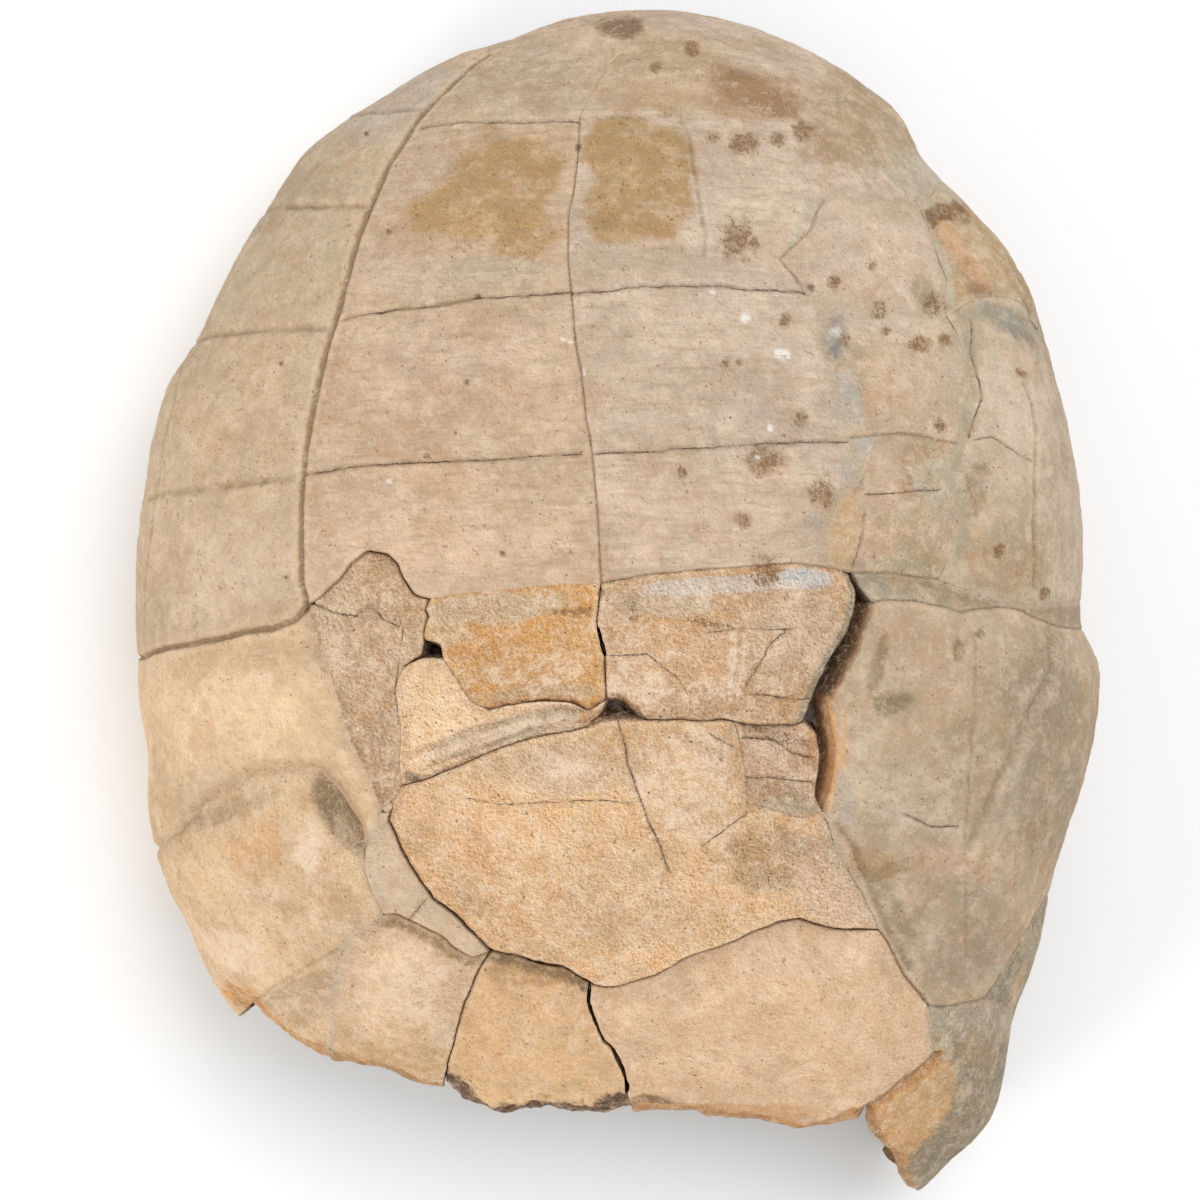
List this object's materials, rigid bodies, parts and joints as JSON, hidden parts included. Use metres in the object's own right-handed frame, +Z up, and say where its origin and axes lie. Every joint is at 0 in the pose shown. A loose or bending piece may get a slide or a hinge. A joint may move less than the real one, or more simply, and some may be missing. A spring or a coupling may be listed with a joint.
{
  "type": "fossil tortoise carapace",
  "caption": "Mended fossil tortoise back shell: a hollow dome of cracked tan bone plates, open underneath, standing on its side walls.",
  "frame": {"origin": "middle of the footprint, on the surface that the shell stands on", "axes": "+Z up out of the dome; +Y along the shell towards the head end with the three even back plates; +X towards the side with the broken flank"},
  "size_m": [0.3852, 0.4752, 0.1674],
  "materials": {
    "side_bone": "matte",
    "back_bone": "matte",
    "pink_bone": "matte",
    "middle_bone": "matte",
    "rim_bone": "matte",
    "filler": "matte"
  },
  "bodies": {
    "root": {"left_flank": "side_bone", "left_bulge": "side_bone", "left_corner_plate": "rim_bone", "left_back": "back_bone", "right_back": "back_bone", "right_shoulder_plate": "pink_bone", "right_side_upper": "pink_bone", "right_side_middle": "pink_bone", "right_margin_upper": "side_bone", "right_margin_lower": "side_bone", "right_filler_band": "filler", "left_wedge_plate": "middle_bone", "middle_left_plate": "middle_bone", "left_wedge": "middle_bone", "middle_right_plate": "middle_bone", "right_ledge_block": "middle_bone", "lower_plate": "middle_bone", "right_flank_plate": "side_bone", "rim_right": "rim_bone", "rim_centre": "rim_bone", "rim_left": "rim_bone", "corner_fragment": "rim_bone", "left_filler_strip": "filler"}
  },
  "joints": []
}
